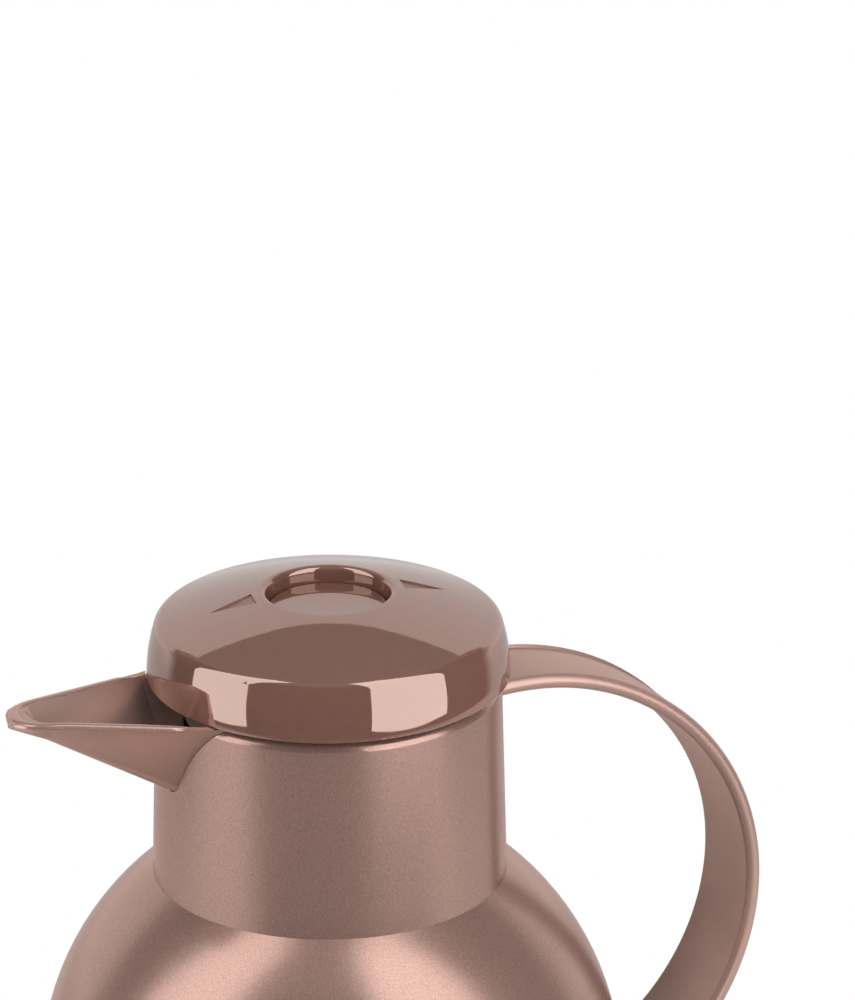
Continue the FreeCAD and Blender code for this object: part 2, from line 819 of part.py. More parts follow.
def make_handle_strap():
    body = new_body("handle_strap")
    sections = [
        strap_section(body, f"strap_{i}", *place)
        for i, place in enumerate(strap_places())
    ]
    loft(body, "strap", sections, "PartDesign::AdditiveLoft", ruled=False)
    flare_end = s.belly_radius + s.foot_flare_length
    flare_along = flare_end - lower_centre[0]
    flare_low = lower_centre[1] - leg(s.handle_lower_radius, flare_along)
    flare_high = lower_centre[1] - leg(s.handle_lower_radius - s.handle_thickness, flare_along)
    flare = new_sketch(body, "foot_flare_outline", "XZ_Plane")
    draw(flare, [
        corner(boss_wall_radius, boss_height - s.foot_half_height, s.foot_flare_radius, -1),
        corner(flare_end, flare_low),
        corner(flare_end, flare_high, s.foot_flare_radius, -1),
        corner(boss_wall_radius, boss_height + s.foot_half_height),
    ])
    foot = pad(body, "foot_flare", flare, s.handle_foot_width - s.handle_thickness)
    foot.SideType = "Symmetric"
    jacket = jacket_outside(s.seat_gap)
    groove(body, "jacket_room", [corner(0, s.base_flange)] + jacket + [
        corner(s.neck_top_radius + s.seat_gap, s.neck_top_height),
        corner(0, s.neck_top_height),
    ])
    tenon = new_sketch(body, "tenon_outline", "YZ_Plane", s.collar_radius + s.part_gap)
    half = s.tenon_width / 2
    middle = handle_root - s.handle_thickness / 2
    reach = s.tenon_thickness / 2
    draw(tenon, rectangle(-half, half, middle - reach, middle + reach))
    pad(body, "tenon", tenon, s.neck_root_radius - s.collar_radius + s.handle_thickness / 2)
    boss_start = boss_wall_radius - s.boss_length
    boss = new_sketch(body, "boss_outline", "YZ_Plane", boss_start)
    draw_circle(boss, 0, boss_height, s.boss_radius)
    pad(body, "boss", boss, s.boss_length + s.shell_wall)
    bore = new_sketch(body, "screw_bore_outline", "YZ_Plane", boss_start)
    draw_circle(bore, 0, boss_height, s.screw_radius + s.seat_gap)
    pocket(body, "screw_bore", bore, s.screw_length, True)
    return body


def make_handle_screw():
    body = new_body("handle_screw")
    tip = s.screw_length - s.part_gap
    turn(body, "screw", [
        corner(0, -s.screw_head_height),
        corner(s.screw_head_radius, -s.screw_head_height),
        corner(s.screw_head_radius, 0),
        corner(s.screw_radius, 0),
        corner(s.screw_radius, tip - s.screw_radius),
        corner(0, tip),
    ])
    seat = boss_wall_radius - s.boss_length
    along_x = Rotation(Vector(0, 0, 1), Vector(1, 0, 0))
    body.Placement = Placement(Vector(seat.value, 0, boss_height.value), along_x)
    body.setExpression("Placement.Base.x", seat.text)
    body.setExpression("Placement.Base.z", boss_height.text)
    return body


def lid_edge(inset):
    """Radius, lower end and upper end of the lid's round edge, set in from its outside."""
    radius = s.lid_edge_radius - inset
    lower = (edge_centre_radius + radius * cosine(s.lid_lean_angle),
             edge_centre_height + radius * sine(s.lid_lean_angle))
    upper = (edge_centre_radius + radius * sine(s.lid_edge_slope),
             edge_centre_height + radius * cosine(s.lid_edge_slope))
    return radius, lower, upper


def make_lid_cover():
    body = new_body("lid_cover")
    edge, band_end, dome_start = lid_edge(as_size(0))
    inner_edge, inner_band_end, inner_dome_start = lid_edge(s.lid_wall)
    inner_band = band_radius - s.lid_wall
    inner_dome = dome_radius - s.lid_wall
    tube_radius = s.recess_radius + s.recess_tube_wall
    tube_bottom = rim_height - s.recess_tube_depth
    rib_inner = s.lid_rib_radius - s.lid_rib_wall

    def under_dome(radius):
        return dome_centre_height + leg(inner_dome, radius - dome_centre_radius)

    turn(body, "cap", [
        corner(s.lid_radius - s.lid_wall, lid_bottom),
        corner(s.lid_radius - s.lid_rim_round, lid_bottom, s.lid_rim_round),
        corner(s.lid_radius, lid_bottom + s.lid_rim_round, band_radius),
        corner(*band_end, edge),
        corner(*dome_start, dome_radius),
        corner(rim_centre_radius + s.recess_round * sine(s.lid_rim_slope),
               rim_centre_height + s.recess_round * cosine(s.lid_rim_slope), s.recess_round),
        corner(s.recess_radius, rim_centre_height),
        corner(s.recess_radius, tube_bottom),
        corner(tube_radius, tube_bottom),
        corner(tube_radius, under_dome(tube_radius), inner_dome, -1),
        corner(*inner_dome_start, inner_edge, -1),
        corner(*inner_band_end, inner_band, -1),
    ])
    rib_top = under_dome(s.lid_rib_radius) + s.lid_wall / 2
    turn(body, "rib", rectangle(rib_inner, s.lid_rib_radius, flange_top, rib_top))
    mark_middle = s.mark_inner_radius + s.mark_length / 2
    mark_lean = (mark_middle - dome_centre_radius) / dome_radius
    mark_rise = leg(dome_radius, mark_middle - dome_centre_radius) / dome_radius
    floor_radius = dome_radius - s.mark_depth
    mark_place = -(dome_centre_radius + floor_radius * mark_lean)
    mark_height = dome_centre_height + floor_radius * mark_rise
    mark = new_sketch(body, "mark_outline", "XY_Plane")
    along_dome = Rotation(Vector(0, 1, 0), -math.degrees(math.asin(mark_lean.value)))
    mark.AttachmentOffset = Placement(Vector(mark_place.value, 0, mark_height.value), along_dome)
    mark.setExpression("AttachmentOffset.Base.x", mark_place.text)
    mark.setExpression("AttachmentOffset.Base.z", mark_height.text)
    draw(mark, [
        corner(s.mark_length / 2, -s.mark_half_width),
        corner(s.mark_length / 2, s.mark_half_width),
        corner(-s.mark_length / 2, 0),
    ])
    cut = pocket(body, "mark", mark, s.overrun, True)
    repeat(body, "marks", cut, MARK_COUNT)
    turn_to_set_angle(body)
    return body


def make_stopper_body():
    body = new_body("stopper_body")
    wall_bore = stopper_radius - s.stopper_wall
    stem_hole = s.stem_radius + s.running_gap
    turn(body, "stopper", [
        corner(nose_bore_radius, nose_bottom),
        corner(s.nose_radius, nose_bottom),
        corner(s.nose_radius, stopper_floor_bottom),
        corner(stopper_radius, stopper_floor_bottom),
        corner(stopper_radius, flange_bottom),
        corner(flange_radius, flange_bottom),
        corner(flange_radius, flange_top),
        corner(wall_bore, flange_top),
        corner(wall_bore, ceiling_top),
        corner(stem_hole, ceiling_top),
        corner(stem_hole, ceiling_bottom),
        corner(wall_bore, ceiling_bottom),
        corner(wall_bore, stopper_floor_top),
        corner(nose_bore_radius, stopper_floor_top),
    ])
    outlet = new_sketch(body, "outlet_outline", "YZ_Plane")
    half = s.outlet_width / 2
    middle = (stopper_floor_top + ceiling_bottom) / 2
    reach = s.outlet_height / 2
    draw(outlet, rectangle(-half, half, middle - reach, middle + reach))
    cut = pocket(body, "outlets", outlet, 2 * s.collar_radius, True)
    cut.SideType = "Symmetric"
    turn_to_set_angle(body)
    return body


def turn_to_set_angle(body):
    """Turn a closure piece to where the screwed-down closure comes to rest."""
    body.Placement = Placement(Vector(0, 0, 0), Rotation(Vector(0, 0, 1), s.closure_set_angle.value))


def make_stopper_seal():
    body = new_body("stopper_seal")
    bore = s.nose_radius + s.part_gap
    turn(body, "seal", rectangle(bore, s.seal_radius, collar_floor_top, stopper_floor_bottom))
    return body


def make_guide_sleeve():
    body = new_body("guide_sleeve")
    outer = s.sleeve_bore_radius + s.sleeve_wall
    turn(body, "sleeve", [
        corner(s.sleeve_bore_radius, ceiling_top),
        corner(s.sleeve_flange_radius, ceiling_top),
        corner(s.sleeve_flange_radius, sleeve_flange_top),
        corner(outer, sleeve_flange_top),
        corner(outer, ceiling_top + s.sleeve_height),
        corner(s.sleeve_bore_radius, ceiling_top + s.sleeve_height),
    ])
    slot = new_sketch(body, "slot_outline", "XY_Plane", sleeve_flange_top)
    half = s.sleeve_slot_width / 2
    slot_start = s.sleeve_bore_radius - s.sleeve_wall / 2
    draw(slot, rectangle(slot_start, s.sleeve_bore_radius + s.sleeve_slot_depth, -half, half))
    cut = pocket(body, "slot", slot, s.sleeve_height, True)
    repeat(body, "slots", cut, SLOT_COUNT)
    return body


def make_stem_wiper():
    body = new_body("stem_wiper")
    turn(body, "wiper", rectangle(s.stem_radius + s.running_gap, s.wiper_radius, ceiling_top, wiper_top))
    return body


def make_push_button():
    body = new_body("push_button")
    skirt_bore = button_radius - s.button_wall
    stem_socket = s.stem_radius + s.seat_gap
    dish_half = button_radius - s.button_round
    dish_radius = bow_radius(dish_half, s.button_dish)
    turn(body, "button", [
        corner(0, button_top - s.button_dish, dish_radius, 1),
        corner(dish_half, button_top, s.button_round, -1),
        corner(button_radius, button_top - s.button_round),
        corner(button_radius, button_skirt_bottom),
        corner(skirt_bore, button_skirt_bottom),
        corner(skirt_bore, button_web_bottom),
        corner(s.button_tube_radius, button_web_bottom),
        corner(s.button_tube_radius, button_tube_bottom),
        corner(stem_socket, button_tube_bottom),
        corner(stem_socket, button_web_bottom),
        corner(0, button_web_bottom),
    ])
    cut_teeth(body, button_tube_bottom, s.tooth_height)
    return body


def cut_teeth(body, face, height):
    """Cut a crown of V teeth round a face; a negative height cuts downwards."""
    notch = new_sketch(body, "tooth_outline", "YZ_Plane")
    half = s.rotor_radius * math.sin(math.pi / TOOTH_COUNT / 2)
    draw(notch, [corner(-half, face), corner(half, face), corner(0, face + height)])
    cut = pocket(body, "tooth_gap", notch, s.rotor_radius + s.running_gap, True)
    repeat(body, "tooth_gaps", cut, TOOTH_COUNT)


def make_latch_rotor():
    body = new_body("latch_rotor")
    turn(body, "rotor", rectangle(s.stem_radius + s.seat_gap, s.rotor_radius, rotor_bottom, rotor_top))
    cut_teeth(body, rotor_top, -s.tooth_height)
    return body


def make_valve_stem():
    body = new_body("valve_stem")
    head_bottom = disc_bottom - s.stem_head
    turn(body, "stem", [
        corner(0, head_bottom),
        corner(s.stem_head_radius, head_bottom),
        corner(s.stem_head_radius, disc_bottom),
        corner(s.stem_radius, disc_bottom),
        corner(s.stem_radius, button_web_bottom),
        corner(0, button_web_bottom),
    ])
    return body


def make_valve_disc():
    body = new_body("valve_disc")
    bore = s.stem_radius + s.seat_gap
    turn(body, "disc", rectangle(bore, s.nose_radius + s.disc_inset, disc_bottom, disc_top))
    return body


def make_valve_seal():
    body = new_body("valve_seal")
    turn(body, "seal", rectangle(s.nose_radius - s.valve_seal_width, s.nose_radius, disc_top, nose_bottom))
    return body


def make_stem_clip():
    body = new_body("stem_clip")
    turn(body, "clip", rectangle(s.stem_radius + s.seat_gap, s.clip_radius, clip_bottom, clip_top))
    gap = new_sketch(body, "opening_outline", "XY_Plane", clip_bottom)
    half = s.clip_opening / 2
    draw(gap, rectangle(as_size(0), s.clip_radius + s.overrun, -half, half))
    pocket(body, "opening", gap, s.clip_thickness, True)
    return body


def biarc_edges(start, start_way, end, end_way):
    """Two tangent arcs between two points with given directions."""
    across = end - start
    both = start_way + end_way
    spread = 2 * (1 - start_way.dot(end_way))
    along = across.dot(both)
    reach = (math.sqrt(along * along + spread * across.dot(across)) - along) / spread
    first = start + start_way * reach
    second = end - end_way * reach
    joint = (first + second) / 2
    return [corner_arc(start, first, joint), corner_arc(joint, second, end)]


def corner_arc(start, tip, end):
    """Arc from start to end whose end tangents meet at tip."""
    middle = (start + end) / 2
    half = (end - start).Length / 2
    height = (tip - middle).Length
    angle = math.atan2(height, half)
    rise = half / math.sin(angle) * (1 - math.cos(angle))
    crown = middle + (tip - middle) * (rise / height)
    return Part.Arc(start, crown, end).toShape()


def make_return_spring():
    """Coil spring round the guide sleeve, from its flange to the button's web."""
    wire_radius = s.spring_wire.value / 2
    low = sleeve_flange_top.value + wire_radius + s.seat_gap.value
    high = button_web_bottom.value - wire_radius - s.seat_gap.value
    radius = s.spring_radius.value
    steps = SPRING_TURNS * ARCS_PER_TURN
    pitch = (high - low) / SPRING_TURNS

    def spot(step):
        angle = 2 * math.pi * step / ARCS_PER_TURN
        height = low + pitch * step / ARCS_PER_TURN
        return Vector(radius * math.cos(angle), radius * math.sin(angle), height)

    def way(step):
        angle = 2 * math.pi * step / ARCS_PER_TURN
        slope = pitch / (2 * math.pi)
        return Vector(-radius * math.sin(angle), radius * math.cos(angle), slope).normalize()

    edges = []
    for step in range(steps):
        edges += biarc_edges(spot(step), way(step), spot(step + 1), way(step + 1))
    path = Part.Wire(edges)
    section = Part.Wire(Part.Circle(spot(0), way(0), wire_radius).toShape())
    shell = Part.BRepOffsetAPI.MakePipeShell(path)
    shell.add(section)
    shell.build()
    shell.makeSolid()
    feature = doc.addObject("Part::Feature", "return_spring")
    feature.Label = "return_spring"
    feature.Shape = shell.shape()
    feature.Placement = Placement()
    rise = pitch * math.cos(math.atan2(pitch, 2 * math.pi * radius))
    print(f"return_spring least gap between turns {rise - 2 * wire_radius:.2f} mm")
    return feature


def check_document():
    for item in doc.Objects:
        if "Invalid" in item.State or "Error" in item.State:
            raise RuntimeError(f"{item.Name} failed: {item.State}")


def check_cuts():
    """Every cut has to take something away."""
    for item in doc.Objects:
        if item.TypeId in ("PartDesign::Pocket", "PartDesign::Groove", "PartDesign::SubtractiveLoft"):
            if item.Shape.Volume >= item.BaseFeature.Shape.Volume:
                raise RuntimeError(f"{item.Name} cuts nothing")


def main():
    pieces = [
        make_belly_shell(),
        make_neck_sleeve(),
        make_base_cap(),
        make_flask_pad(),
        make_inner_bottle(),
        make_outer_bottle(),
        make_neck_gasket(),
        make_spout_collar(),
        make_handle_strap(),
        make_handle_screw(),
        make_lid_cover(),
        make_stopper_body(),
        make_stopper_seal(),
        make_guide_sleeve(),
        make_stem_wiper(),
        make_return_spring(),
        make_push_button(),
        make_valve_stem(),
        make_valve_disc(),
        make_valve_seal(),
        make_stem_clip(),
        make_latch_rotor(),
    ]
    doc.recompute()
    check_document()
    check_cuts()
    for piece in pieces:
        if piece.Shape.isNull() or not piece.Shape.isValid() or not piece.Shape.Solids:
            raise RuntimeError(f"{piece.Label} has no valid solid")
    os.makedirs("parts", exist_ok=True)
    for piece in pieces:
        piece.Shape.exportStep(f"parts/{piece.Label}.step")


main()
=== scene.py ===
"""Looks of the thermal carafe: finishes, fine shapes, camera and studio.

Metres. +Z is up, the spout points along -X and the handle along +X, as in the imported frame.
"""
import math

import bpy
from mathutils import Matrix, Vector


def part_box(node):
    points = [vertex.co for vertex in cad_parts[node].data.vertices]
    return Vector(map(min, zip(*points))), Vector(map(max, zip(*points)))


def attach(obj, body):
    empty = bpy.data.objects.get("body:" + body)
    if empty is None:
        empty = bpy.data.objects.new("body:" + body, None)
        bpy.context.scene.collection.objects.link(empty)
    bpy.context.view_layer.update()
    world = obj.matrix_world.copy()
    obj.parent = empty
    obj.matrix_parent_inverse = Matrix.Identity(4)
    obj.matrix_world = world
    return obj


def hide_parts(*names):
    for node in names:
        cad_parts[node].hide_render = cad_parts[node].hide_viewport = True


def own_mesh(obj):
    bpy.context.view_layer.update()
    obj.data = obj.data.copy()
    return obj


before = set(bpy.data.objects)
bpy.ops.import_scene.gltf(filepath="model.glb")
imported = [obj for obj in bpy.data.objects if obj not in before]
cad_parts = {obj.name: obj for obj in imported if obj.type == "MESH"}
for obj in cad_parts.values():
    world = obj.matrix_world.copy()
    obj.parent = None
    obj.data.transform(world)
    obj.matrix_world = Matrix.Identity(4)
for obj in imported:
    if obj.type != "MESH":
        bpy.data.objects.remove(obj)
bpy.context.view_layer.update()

MM = 0.001

# Colours as linear RGB
ROSE_SATIN = (0.360, 0.222, 0.186)
ROSE_SMOOTH = (0.455, 0.296, 0.252)
ROSE_GLOSS = (0.165, 0.079, 0.061)
ROSE_MATT = (0.300, 0.190, 0.160)
ROSE_TINT = (1.0, 0.75, 0.66)
STOPPER_GREY = (0.160, 0.128, 0.116)
SILICONE = (0.560, 0.540, 0.510)
RUBBER = (0.022, 0.022, 0.022)
STEEL = (0.620, 0.610, 0.600)
SILVERING = (0.900, 0.895, 0.880)
WHITE = (1.0, 1.0, 1.0)
FLOOR_WHITE = (0.86, 0.86, 0.86)


# Shader nodes. A pair (node, output) stands for a node's output.

# Colour sockets of a Mix node
MIX_FACTOR = 0
MIX_FIRST = 6
MIX_SECOND = 7
MIX_RESULT = 2
# Range in which most of a noise lies
NOISE_LOW = 0.3
NOISE_HIGH = 0.7


def new_material(name):
    material = bpy.data.materials.new(name)
    material.use_nodes = True
    return material, material.node_tree.nodes["Principled BSDF"]


def link_or_set(material, socket, value):
    """Link a node's output to the socket, or set the socket to a value."""
    if isinstance(value, tuple) and len(value) == 2 and hasattr(value[0], "outputs"):
        material.node_tree.links.new(value[0].outputs[value[1]], socket)
    else:
        socket.default_value = value


def settle(material, shader, **values):
    """Link or set sockets by name, in which an underscore stands for a space."""
    for key, value in values.items():
        link_or_set(material, shader.inputs[key.replace("_", " ")], value)


def node(material, kind, **values):
    made = material.node_tree.nodes.new(kind)
    settle(material, made, **values)
    return made


def opaque(colour):
    return colour + (1.0,)


def place_on_object(material):
    return node(material, "ShaderNodeTexCoord"), "Object"


def noise(material, place, scale, detail):
    return node(material, "ShaderNodeTexNoise", Vector=place, Scale=scale, Detail=detail), "Fac"


def spread(material, source, low=0.0, high=1.0, from_low=NOISE_LOW, from_high=NOISE_HIGH):
    """Map a range of the source, by default a noise's middle, to low...high."""
    made = node(material, "ShaderNodeMapRange", Value=source, From_Min=from_low,
                From_Max=from_high, To_Min=low, To_Max=high)
    return made, "Result"


def soft(mapped):
    """Ease a mapped value in and out."""
    mapped[0].interpolation_type = "SMOOTHSTEP"
    return mapped


def shade(colour, factor):
    return opaque(tuple(min(1.0, part * factor) for part in colour))


def two_tones(material, fac, colour, dark, light):
    """Colour between two factors of its brightness."""
    made = node(material, "ShaderNodeMix")
    made.data_type = "RGBA"
    link_or_set(material, made.inputs[MIX_FACTOR], fac)
    made.inputs[MIX_FIRST].default_value = shade(colour, dark)
    made.inputs[MIX_SECOND].default_value = shade(colour, light)
    return made, MIX_RESULT


def bump(material, height, distance, strength):
    made = node(material, "ShaderNodeBump", Height=height, Distance=distance, Strength=strength)
    return made, "Normal"


def reckon(material, operation, first, second=0.0):
    """Math node over two values, each a number or a node's output."""
    made = node(material, "ShaderNodeMath")
    made.operation = operation
    for socket, source in zip(made.inputs, (first, second)):
        link_or_set(material, socket, source)
    return made, "Value"


def length_of(material, place):
    made = node(material, "ShaderNodeVectorMath")
    made.operation = "LENGTH"
    link_or_set(material, made.inputs[0], place)
    return made, "Value"


def length_towards(material, place, direction):
    made = node(material, "ShaderNodeVectorMath")
    made.operation = "DOT_PRODUCT"
    link_or_set(material, made.inputs[0], place)
    link_or_set(material, made.inputs[1], direction)
    return made, "Value"


def mix_on_output(material, share, first, second):
    """Show the first shader where the share is nought and the second where it is one."""
    mix = node(material, "ShaderNodeMixShader")
    for socket, source in zip(mix.inputs, (share, (first, 0), (second, 0))):
        link_or_set(material, socket, source)
    link_or_set(material, material.node_tree.nodes["Material Output"].inputs["Surface"], (mix, 0))


# Finishes. Noise scales are per metre.

# The two triangles cut into the cap, whose floors are duller
MARK_ANGLE = math.radians(11.5)
MARK_INNER = 17.5 * MM
MARK_OUTER = 28.0 * MM
MARK_HALF_WIDTH = 2.9 * MM
MARK_DULLNESS = 0.42


def satin_jacket(name, roughness, metal):
    """Lacquer with fine metal flake over a satin moulding."""
    material, shader = new_material(name)
    place = place_on_object(material)
    flake = noise(material, place, scale=2600.0, detail=1.0)
    cloud = noise(material, place, scale=60.0, detail=3.0)
    settle(
        material, shader,
        Base_Color=two_tones(material, spread(material, flake), ROSE_SATIN, dark=0.86, light=1.14),
        Roughness=spread(material, cloud, *roughness),
        Normal=bump(material, flake, distance=0.03 * MM, strength=0.4),
        Metallic=metal,
        IOR=1.75,
        Specular_Tint=opaque(ROSE_TINT),
    )
    return material


def smooth_moulding(name, roughness):
    """Smooth satin plastic of the spout and the handle."""
    material, shader = new_material(name)
    place = place_on_object(material)
    grain = noise(material, place, scale=1700.0, detail=2.0)
    cloud = noise(material, place, scale=45.0, detail=2.0)
    settle(
        material, shader,
        Base_Color=two_tones(material, spread(material, cloud), ROSE_SMOOTH, dark=0.95, light=1.05),
        Roughness=spread(material, grain, *roughness),
        Normal=bump(material, grain, distance=0.01 * MM, strength=0.5),
        Metallic=0.55,
        IOR=1.42,
        Specular_Tint=opaque(ROSE_TINT),
    )
    return material


def pour_marks(material, place):
    """One inside the two triangles cut into the cap, nought elsewhere."""
    turned = node(material, "ShaderNodeVectorRotate", Vector=place, Angle=MARK_ANGLE)
    turned.rotation_type = "Z_AXIS"
    parts = node(material, "ShaderNodeSeparateXYZ", Vector=(turned, "Vector"))
    along = reckon(material, "ABSOLUTE", (parts, "X"))
    aside = reckon(material, "ABSOLUTE", (parts, "Y"))
    left = reckon(material, "SUBTRACT", MARK_OUTER, along)
    half = reckon(material, "MULTIPLY", left, MARK_HALF_WIDTH / (MARK_OUTER - MARK_INNER))
    within = reckon(material, "LESS_THAN", aside, half)
    beyond = reckon(material, "GREATER_THAN", along, MARK_INNER)
    return reckon(material, "MULTIPLY", within, beyond)


def gloss_lid():
    """Polished cap: deep colour, hard shine, a trace of orange peel and dull pour marks."""
    material, shader = new_material("gloss_lid")
    place = place_on_object(material)
    dulled = reckon(material, "MULTIPLY", pour_marks(material, place), MARK_DULLNESS)
    peel = noise(material, place, scale=170.0, detail=1.0)
    haze = noise(material, place, scale=420.0, detail=3.0)
    shine = spread(material, haze, low=0.025, high=0.05)
    settle(
        material, shader,
        Base_Color=two_tones(material, spread(material, haze), ROSE_GLOSS, dark=0.96, light=1.04),
        Roughness=reckon(material, "ADD", shine, dulled),
        Normal=bump(material, peel, distance=0.02 * MM, strength=0.12),
        IOR=2.5,
        Specular_Tint=opaque(ROSE_TINT),
    )
    return material


def moulded(name, colour, roughness, grain_scale, depth):
    """Plain moulded plastic, rubber or silicone with the grain of an eroded mould."""
    material, shader = new_material(name)
    place = place_on_object(material)
    grain = noise(material, place, scale=grain_scale, detail=3.0)
    cloud = noise(material, place, scale=35.0, detail=2.0)
    settle(
        material, shader,
        Base_Color=two_tones(material, spread(material, cloud), colour, dark=0.92, light=1.08),
        Roughness=spread(material, grain, *roughness),
        Normal=bump(material, grain, distance=depth, strength=0.6),
    )
    return material


def bright_steel():
    """Drawn steel wire and screws."""
    material, shader = new_material("bright_steel")
    place = place_on_object(material)
    draw_marks = noise(material, place, scale=900.0, detail=2.0)
    settle(
        material, shader,
        Base_Color=two_tones(material, spread(material, draw_marks), STEEL, dark=0.85, light=1.1),
        Roughness=spread(material, draw_marks, low=0.18, high=0.34),
        Metallic=1.0,
    )
    return material


def silvered_glass():
    """Glass with its silvered back: a mirror with slow waves from blowing."""
    material, shader = new_material("silvered_glass")
    place = place_on_object(material)
    waves = noise(material, place, scale=26.0, detail=1.0)
    settle(
        material, shader,
        Base_Color=two_tones(material, spread(material, waves), SILVERING, dark=0.95, light=1.0),
        Roughness=spread(material, waves, low=0.02, high=0.06),
        Normal=bump(material, waves, distance=0.4 * MM, strength=0.3),
        Metallic=1.0,
        Coat_Weight=1.0,
    )
    return material


def dress(node_name, material):
    """Give a CAD node its finish."""
    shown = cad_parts[node_name]
    shown.data.materials.clear()
    shown.data.materials.append(material)


def finish_nodes():
    """Finish every CAD node, then add the wound spring and the spout's rim."""
    belly = satin_jacket("satin_belly", roughness=(0.22, 0.26), metal=0.52)
    neck = satin_jacket("satin_neck", roughness=(0.24, 0.28), metal=0.62)
    moulding = smooth_moulding("smooth_moulding", roughness=(0.32, 0.40))
    rim_polish = smooth_moulding("polished_rim", roughness=(0.22, 0.28))
    gloss = gloss_lid()
    base = moulded("matt_base", ROSE_MATT, roughness=(0.45, 0.6),
                   grain_scale=1400.0, depth=0.04 * MM)
    stopper = moulded("stopper_plastic", STOPPER_GREY, roughness=(0.38, 0.52),
                      grain_scale=1500.0, depth=0.03 * MM)
    silicone = moulded("silicone", SILICONE, roughness=(0.5, 0.65),
                       grain_scale=1200.0, depth=0.02 * MM)
    rubber = moulded("black_rubber", RUBBER, roughness=(0.6, 0.8),
                     grain_scale=900.0, depth=0.05 * MM)
    steel = bright_steel()
    silver = silvered_glass()
    finishes = {
        "belly_shell": belly,
        "neck_sleeve": neck,
        "spout_collar": moulding,
        "handle_strap": moulding,
        "lid_cover": gloss,
        "push_button": gloss,
        "base_cap": base,
        "inner_bottle": silver,
        "outer_bottle": silver,
        "flask_pad": rubber,
        "neck_gasket": silicone,
        "stopper_seal": silicone,
        "stem_wiper": silicone,
        "valve_seal": silicone,
        "handle_screw": steel,
        "return_spring": steel,
        "stem_clip": steel,
    }
    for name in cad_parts:
        dress(name, finishes.get(name, stopper))
    wind_spring(steel)
    roll_spout_rim(rim_polish)


# Fine shapes

SPRING_WIRE = 0.9 * MM
SPRING_RADIUS = 11.9 * MM
SPRING_ACTIVE_TURNS = 5.0
SPRING_CLOSED_TURNS = 0.9
SPRING_STEPS = 40
WIRE_SIDES = 10

# The beak's rim, as in the part: reach, half width and height at its root and nose, and the
# reach of its round tip
RIM_START = (40.2 * MM, 18.53 * MM, 201.02 * MM)
RIM_NOSE = (71.0 * MM, 8.2 * MM, 204.0 * MM)
RIM_REACH = 79.9 * MM
# Rolled edge there: width, thickness, how far in from the rim and how far above it
RIM_ROOT = (0.6 * MM, 0.6 * MM, 1.2 * MM, -0.2 * MM)
RIM_SIDE = (2.1 * MM, 1.7 * MM, -0.2 * MM, 0.5 * MM)
RIM_TIP = (3.8 * MM, 2.7 * MM, -0.2 * MM, 0.5 * MM)
# Share of the side over which the rolled edge grows out of the wall
RIM_RUN_OUT = 0.22
RIM_SIDE_STEPS = 48
RIM_TIP_STEPS = 48
RIM_SIDES = 24
RIM_EASING = 30


def add_mesh(name, verts, faces, material):
    mesh = bpy.data.meshes.new(name)
    mesh.from_pydata(verts, [], faces)
    mesh.materials.append(material)
    made = bpy.data.objects.new(name, mesh)
    bpy.context.scene.collection.objects.link(made)
    return made


def tube(name, verts, sides, material):
    """Smooth closed tube over rings of verts."""
    rings = len(verts) // sides
    faces = []
    for ring in range(rings - 1):
        first = ring * sides
        second = first + sides
        for side in range(sides):
            after = (side + 1) % sides
            faces.append((first + side, first + after, second + after, second + side))
    last = len(verts) - sides
    faces.append(tuple(range(sides - 1, -1, -1)))
    faces.append(tuple(range(last, last + sides)))
    made = add_mesh(name, verts, faces, material)
    made.data.polygons.foreach_set("use_smooth", [True] * len(faces))
    return made


def wind_spring(steel):
    """Compression spring with closed end turns, in the place of the plain coil."""
    low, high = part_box("return_spring")
    half_wire = SPRING_WIRE / 2
    bottom = low[2] + half_wire
    top = high[2] - half_wire
    turns = SPRING_ACTIVE_TURNS + 2 * SPRING_CLOSED_TURNS
    steps = int(turns * SPRING_STEPS)
    closed_rise = SPRING_WIRE * SPRING_CLOSED_TURNS
    active_rise = top - bottom - 2 * closed_rise
    verts = []
    for step in range(steps + 1):
        turn = step / SPRING_STEPS
        closed = min(turn, SPRING_CLOSED_TURNS) + max(turn - turns + SPRING_CLOSED_TURNS, 0.0)
        active = min(max(turn - SPRING_CLOSED_TURNS, 0.0), SPRING_ACTIVE_TURNS)
        height = bottom + closed * SPRING_WIRE + active / SPRING_ACTIVE_TURNS * active_rise
        angle = 2 * math.pi * turn
        for side in range(WIRE_SIDES):
            round_wire = 2 * math.pi * side / WIRE_SIDES
            reach = SPRING_RADIUS + half_wire * math.cos(round_wire)
            rise = half_wire * math.sin(round_wire)
            verts.append((reach * math.cos(angle), reach * math.sin(angle), height + rise))
    spring = tube("wound_spring", verts, WIRE_SIDES, steel)
    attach(spring, "closure")
    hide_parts("return_spring")
    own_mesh(spring)


def between(first, second, share):
    return tuple(a + (b - a) * share for a, b in zip(first, second))


def smoothstep(share):
    return share * share * (3 - 2 * share)


def eased(sections):
    """Round off the corner between the straight sides and the tip, by means of three points."""
    for _ in range(RIM_EASING):
        points = [edge for edge, _ in sections]
        for i in range(1, len(points) - 1):
            smooth = (points[i - 1] + points[i] * 2 + points[i + 1]) / 4
            sections[i] = (smooth, sections[i][1])
    return sections


